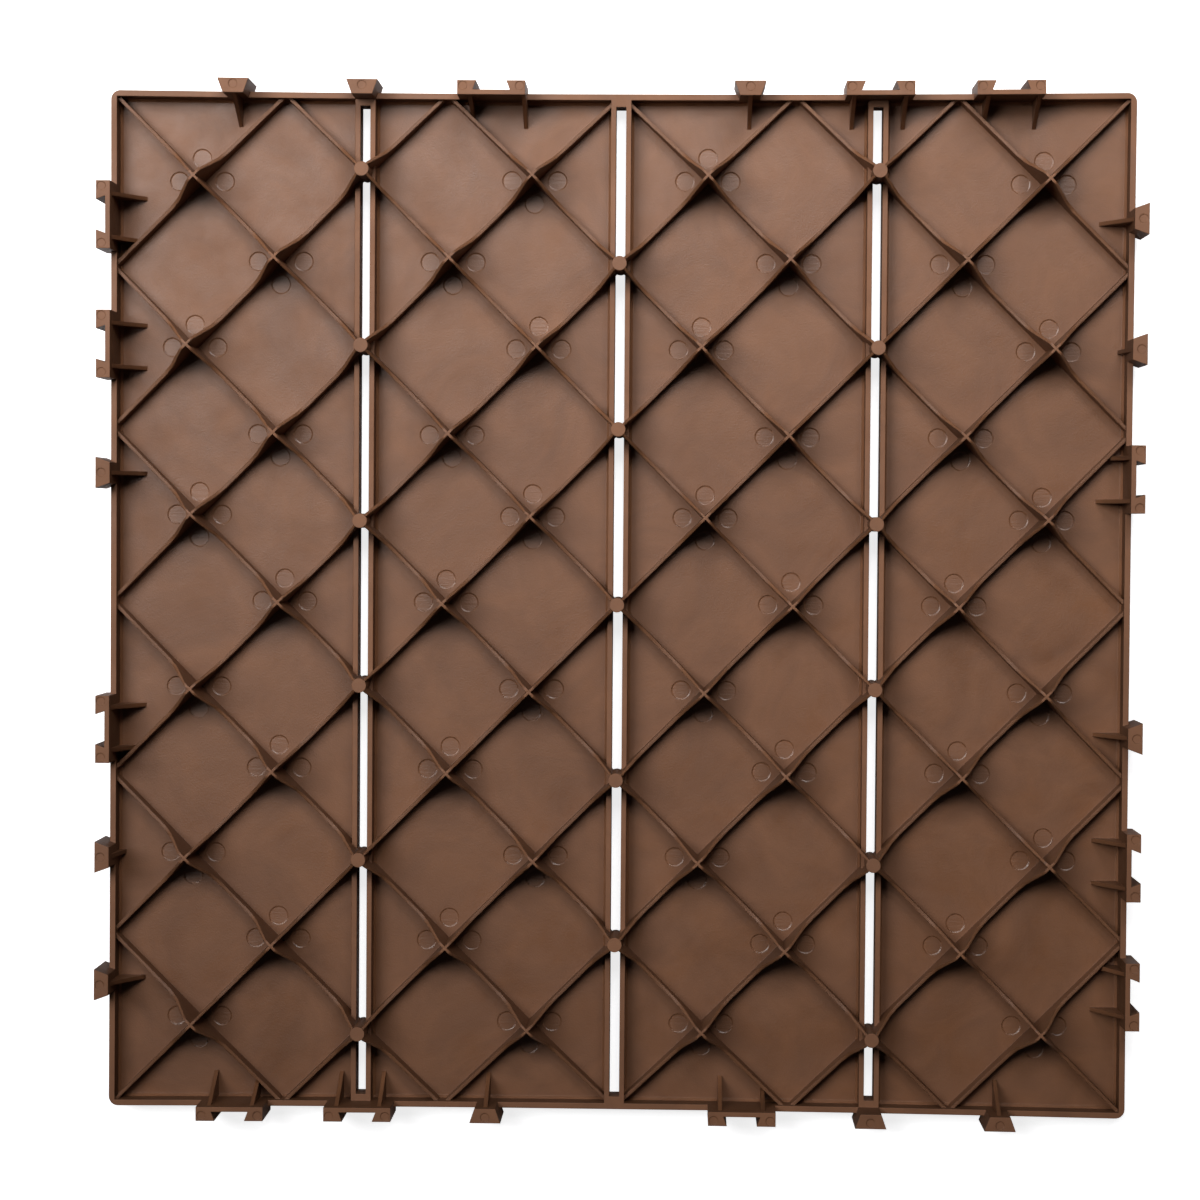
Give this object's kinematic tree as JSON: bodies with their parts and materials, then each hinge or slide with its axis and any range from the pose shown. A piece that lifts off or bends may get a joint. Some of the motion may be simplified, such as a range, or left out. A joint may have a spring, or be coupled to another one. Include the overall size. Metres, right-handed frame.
{
  "type": "interlocking deck tile",
  "caption": "Square moulded plastic deck tile with plank strips between open slots, a diagonal rib lattice rising to feet underneath, and dovetail tabs and sockets along its edges.",
  "frame": {"origin": "middle of the deck face, the side that is walked on", "axes": "+Z points out of the ribbed underside, so the tile lies here with its deck face down and is turned over for use; +Y runs along the slots, +X across them"},
  "size_m": [0.305, 0.305, 0.0185],
  "materials": {
    "tile": "satin brown polypropylene"
  },
  "bodies": {
    "root": {"deck_tile": "tile"}
  },
  "joints": []
}
